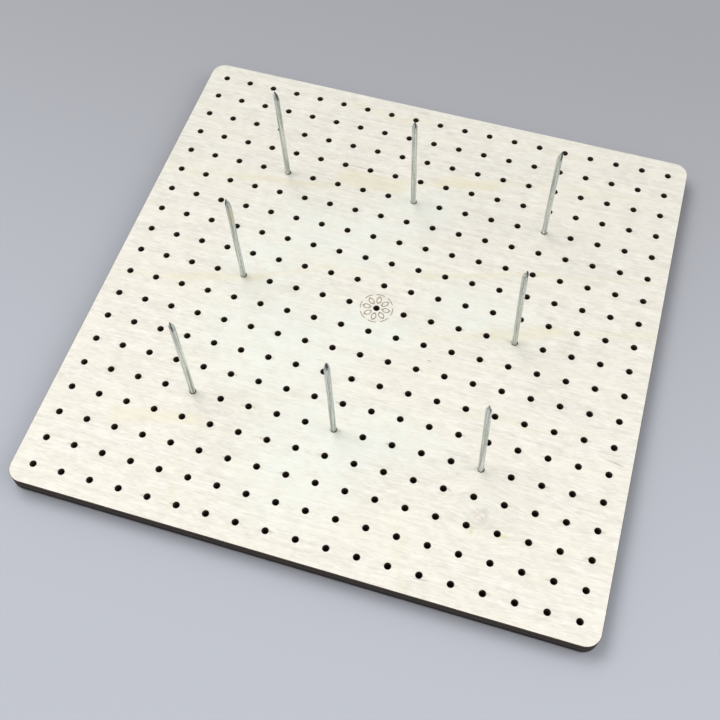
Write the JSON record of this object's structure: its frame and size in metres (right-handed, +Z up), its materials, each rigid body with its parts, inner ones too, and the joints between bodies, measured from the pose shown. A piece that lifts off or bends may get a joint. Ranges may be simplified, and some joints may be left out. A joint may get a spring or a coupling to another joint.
{
  "type": "blocking board",
  "caption": "Square plywood peg board with a grid of holes and upright wire nails, for stretching crochet and knitted squares to size.",
  "frame": {"origin": "centre of the foot: the middle of the board, at the plane under the nail heads that it stands on", "axes": "+Z up along the holes, +X to the right, +Y to the back; the grid's rows run along X and its columns along Y"},
  "size_m": [0.3, 0.3, 0.0775],
  "materials": {
    "birch_face": "sanded, unfinished, matt",
    "birch_inner": "laser-cut, charred edge, matt",
    "birch_back": "sanded, smoke marks, matt",
    "zinc_wire": "satin, electro-galvanised"
  },
  "bodies": {
    "board": {"face_veneer": "birch_face", "upper_crossband": "birch_inner", "core_veneer": "birch_inner", "lower_crossband": "birch_inner", "back_veneer": "birch_back"},
    "nail_back_left": {"nail_back_left": "zinc_wire"},
    "nail_back_middle": {"nail_back_middle": "zinc_wire"},
    "nail_back_right": {"nail_back_right": "zinc_wire"},
    "nail_middle_left": {"nail_middle_left": "zinc_wire"},
    "nail_middle_right": {"nail_middle_right": "zinc_wire"},
    "nail_front_left": {"nail_front_left": "zinc_wire"},
    "nail_front_middle": {"nail_front_middle": "zinc_wire"},
    "nail_front_right": {"nail_front_right": "zinc_wire"}
  },
  "joints": [
    {"name": "nail_back_left_slide", "type": "slide", "parent": "board", "child": "nail_back_left", "axis": [-0.0331, -0.0218, 0.9992], "range_m": [-0.085, 0]},
    {"name": "nail_back_middle_slide", "type": "slide", "parent": "board", "child": "nail_back_middle", "axis": [-0.0279, -0.014, 0.9995], "range_m": [-0.085, 0]},
    {"name": "nail_back_right_slide", "type": "slide", "parent": "board", "child": "nail_back_right", "axis": [-0.0175, 0.0105, 0.9998], "range_m": [-0.085, 0]},
    {"name": "nail_middle_left_slide", "type": "slide", "parent": "board", "child": "nail_middle_left", "axis": [-0.0209, -0.0157, 0.9997], "range_m": [-0.085, 0]},
    {"name": "nail_middle_right_slide", "type": "slide", "parent": "board", "child": "nail_middle_right", "axis": [-0.0384, -0.0087, 0.9992], "range_m": [-0.085, 0]},
    {"name": "nail_front_left_slide", "type": "slide", "parent": "board", "child": "nail_front_left", "axis": [-0.014, -0.0035, 0.9999], "range_m": [-0.085, 0]},
    {"name": "nail_front_middle_slide", "type": "slide", "parent": "board", "child": "nail_front_middle", "axis": [-0.0279, 0, 0.9996], "range_m": [-0.085, 0]},
    {"name": "nail_front_right_slide", "type": "slide", "parent": "board", "child": "nail_front_right", "axis": [-0.0401, 0, 0.9992], "range_m": [-0.085, 0]}
  ]
}
